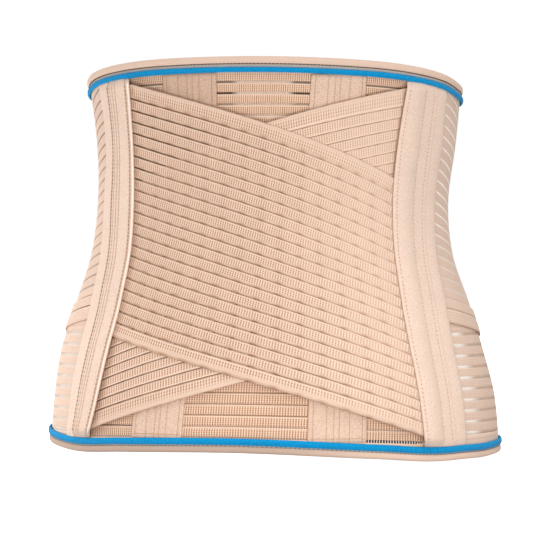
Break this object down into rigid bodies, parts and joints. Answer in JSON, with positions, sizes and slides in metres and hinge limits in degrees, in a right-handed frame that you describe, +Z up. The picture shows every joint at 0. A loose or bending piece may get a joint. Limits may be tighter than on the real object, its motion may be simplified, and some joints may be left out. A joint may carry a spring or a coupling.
{
  "type": "lumbosacral support belt",
  "caption": "Elastic lumbosacral support belt in worn form: ribbed panels, crossed diagonal bands over stay casings, seam tapes, blue piping and bound edges round an open torso space.",
  "frame": {"origin": "centre of the waist, where the belt is narrowest and the torso carries it", "axes": "+X towards the wearer's right, +Y towards the wearer's front, +Z up the torso"},
  "size_m": [0.3397, 0.227, 0.289],
  "materials": {
    "ribbed_elastic": "matt ribbed elastic with fine cross ticks",
    "seam_tape": "matt brushed tape with stitch rows",
    "front_cloth": "matt plain knitted cloth",
    "edge_binding": "matt folded binding",
    "blue_piping": "woven bright blue cord"
  },
  "bodies": {
    "root": {"back_panel": "ribbed_elastic", "left_side_panel": "ribbed_elastic", "right_side_panel": "ribbed_elastic", "left_side_band": "ribbed_elastic", "right_side_band": "ribbed_elastic", "left_stay_casing": "seam_tape", "right_stay_casing": "seam_tape", "rising_band": "ribbed_elastic", "falling_band": "ribbed_elastic", "left_seam_tape": "seam_tape", "right_seam_tape": "seam_tape", "front_closure": "front_cloth", "top_binding": "edge_binding", "bottom_binding": "edge_binding", "top_piping": "blue_piping", "bottom_piping": "blue_piping"}
  },
  "joints": []
}
